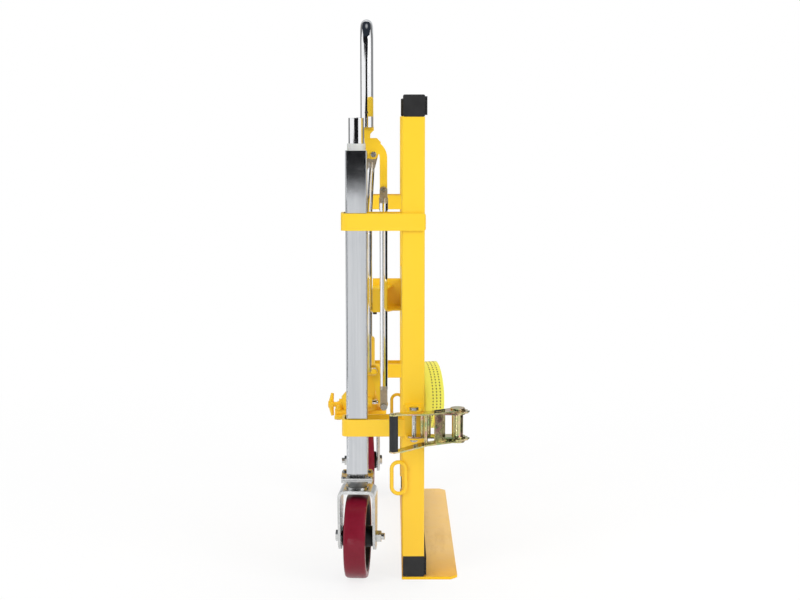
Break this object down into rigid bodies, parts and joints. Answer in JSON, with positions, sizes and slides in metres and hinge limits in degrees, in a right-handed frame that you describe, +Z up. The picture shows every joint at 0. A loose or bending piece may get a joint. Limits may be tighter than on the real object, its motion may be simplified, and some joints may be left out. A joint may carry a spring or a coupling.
{
  "type": "hydraulic furniture mover",
  "caption": "Lifting frame with toe plate that slides on a two-wheeled frame, raised by a hand-pumped bottle jack, with ratchet strap on its side.",
  "frame": {"origin": "middle of the toe plate's underside, on the floor", "axes": "+Z up, +X towards the load that stands on the toe plate, +Y across the mover to its left side"},
  "size_m": [0.2619, 0.7606, 1.0055],
  "materials": {
    "yellow_paint": "semi-gloss paint, slightly worn",
    "yellow_casting": "semi-gloss paint on rough casting",
    "black_bolt": "black oxide",
    "pad_rubber": "matt rubber",
    "cap_plastic": "matt plastic",
    "post_steel": "satin bright steel",
    "bright_zinc": "bright zinc plate",
    "yellow_zinc": "yellow passivated zinc",
    "chrome": "polished chrome",
    "white_plastic": "white nylon",
    "webbing": "woven polyester, bright yellow-green",
    "grip_rubber": "black rubber sleeve",
    "seal_rubber": "nitrile rubber",
    "hub_plastic": "black moulded hub",
    "tread": "burgundy polyurethane tread",
    "cylinder_steel": "honed steel"
  },
  "bodies": {
    "chassis": {"rear_post_right": "post_steel", "rear_post_left": "post_steel", "post_plugs": "white_plastic", "post_pegs": "chrome", "top_cross_tube": "post_steel", "handle_bracket": "yellow_paint", "handle_pin": "bright_zinc", "jack_beam": "post_steel", "jack_plate": "yellow_paint", "jack_bolts": "black_bolt", "jack_base": "yellow_casting", "jack_cylinder": "cylinder_steel", "jack_tank": "yellow_paint", "jack_cap": "yellow_paint", "lever_pin": "bright_zinc", "stay_rod": "chrome", "post_feet": "bright_zinc", "caster_plates": "bright_zinc", "caster_bolts": "bright_zinc"},
    "lift_frame": {"front_post_right": "yellow_paint", "front_post_left": "yellow_paint", "toe_plate": "yellow_paint", "top_bar": "yellow_paint", "bottom_bar": "yellow_paint", "bar_pads": "pad_rubber", "bar_end_caps": "cap_plastic", "guide_straps_right": "yellow_paint", "guide_straps_left": "yellow_paint", "strap_loops": "yellow_paint", "lift_beam": "yellow_paint", "lift_bracket": "yellow_paint", "lift_bolts": "black_bolt", "jack_ram": "chrome", "piston_seal": "seal_rubber", "ratchet_clevis": "yellow_paint", "ratchet_bolt": "bright_zinc", "roll_peg": "yellow_paint", "webbing_roll": "webbing"},
    "release": {"release_valve": "yellow_paint"},
    "fork_right": {"caster_fork_right": "bright_zinc", "axle_right": "bright_zinc"},
    "fork_left": {"caster_fork_left": "bright_zinc", "axle_left": "bright_zinc"},
    "wheel_right": {"wheel_hub_right": "hub_plastic", "tyre_right": "tread"},
    "wheel_left": {"wheel_hub_left": "hub_plastic", "tyre_left": "tread"},
    "handle": {"bail_handle": "chrome", "handle_rocker": "yellow_paint", "rocker_screws": "black_bolt"},
    "push_rod": {"pushrod": "chrome"},
    "lever": {"pump_lever": "yellow_paint"},
    "plunger": {"pump_plunger": "chrome"},
    "ratchet": {"ratchet_frame": "yellow_zinc"},
    "lock": {"lock_pawl": "yellow_zinc"},
    "ratchet_lever": {"ratchet_handle": "yellow_zinc", "ratchet_grip": "grip_rubber"},
    "drive": {"drive_pawl": "yellow_zinc"},
    "spool": {"spool_shaft": "yellow_zinc", "ratchet_gears": "yellow_zinc"}
  },
  "joints": [
    {"name": "lift_slide", "type": "slide", "parent": "chassis", "child": "lift_frame", "axis": [0, 0, 1], "range_m": [0, 0.08]},
    {"name": "pump_handle", "type": "hinge", "parent": "chassis", "child": "handle", "pos_m": [-0.102, 0, 0.752], "axis": [0, -1, 0], "range_deg": [0, 18]},
    {"name": "pushrod_pin", "type": "hinge", "parent": "handle", "child": "push_rod", "pos_m": [-0.0831, -0.057, 0.684], "axis": [0, -1, 0], "range_deg": [-20, 0]},
    {"name": "lever_pivot", "type": "hinge", "parent": "chassis", "child": "lever", "pos_m": [-0.102, -0.033, 0.333], "axis": [0, -1, 0], "range_deg": [0, 20]},
    {"name": "plunger_slide", "type": "slide", "parent": "chassis", "child": "plunger", "axis": [1, 0, 0], "range_m": [0, 0.0215]},
    {"name": "release_turn", "type": "hinge", "parent": "chassis", "child": "release", "pos_m": [-0.172, 0, 0.258], "axis": [-1, 0, 0], "range_deg": [0, 180]},
    {"name": "swivel_right", "type": "hinge", "parent": "chassis", "child": "fork_right", "pos_m": [-0.129, -0.28, 0.165], "axis": [0, 0, 1], "continuous": true},
    {"name": "swivel_left", "type": "hinge", "parent": "chassis", "child": "fork_left", "pos_m": [-0.129, 0.28, 0.165], "axis": [0, 0, 1], "continuous": true},
    {"name": "wheel_spin_right", "type": "hinge", "parent": "fork_right", "child": "wheel_right", "pos_m": [-0.129, -0.28, 0.075], "axis": [0.9976, -0.0698, 0], "continuous": true},
    {"name": "wheel_spin_left", "type": "hinge", "parent": "fork_left", "child": "wheel_left", "pos_m": [-0.129, 0.28, 0.075], "axis": [0.9976, 0.0698, 0], "continuous": true},
    {"name": "ratchet_swing", "type": "hinge", "parent": "lift_frame", "child": "ratchet", "pos_m": [-0.029, -0.33, 0.29], "axis": [0, 0, 1], "range_deg": [-60, 0]},
    {"name": "ratchet_stroke", "type": "hinge", "parent": "ratchet", "child": "ratchet_lever", "pos_m": [0.047, -0.33, 0.29], "axis": [0, 0, 1], "range_deg": [0, 110]},
    {"name": "spool_turn", "type": "hinge", "parent": "ratchet", "child": "spool", "pos_m": [0.047, -0.33, 0.29], "axis": [0, 0, 1], "continuous": true},
    {"name": "lock_slide", "type": "slide", "parent": "ratchet", "child": "lock", "axis": [1, 0, 0], "range_m": [-0.006, 0], "stiffness_N_per_m": 400, "springref_m": 0.002},
    {"name": "drive_slide", "type": "slide", "parent": "ratchet_lever", "child": "drive", "axis": [-0.8572, -0.515, 0], "range_m": [0, 0.004], "stiffness_N_per_m": 400, "springref_m": -0.002}
  ],
  "couplings": [
    {"joint": "pushrod_pin", "follows": "pump_handle", "ratio": -1},
    {"joint": "lever_pivot", "follows": "pump_handle", "ratio": 1},
    {"joint": "plunger_slide", "follows": "pump_handle", "m_per_rad": 0.066}
  ]
}
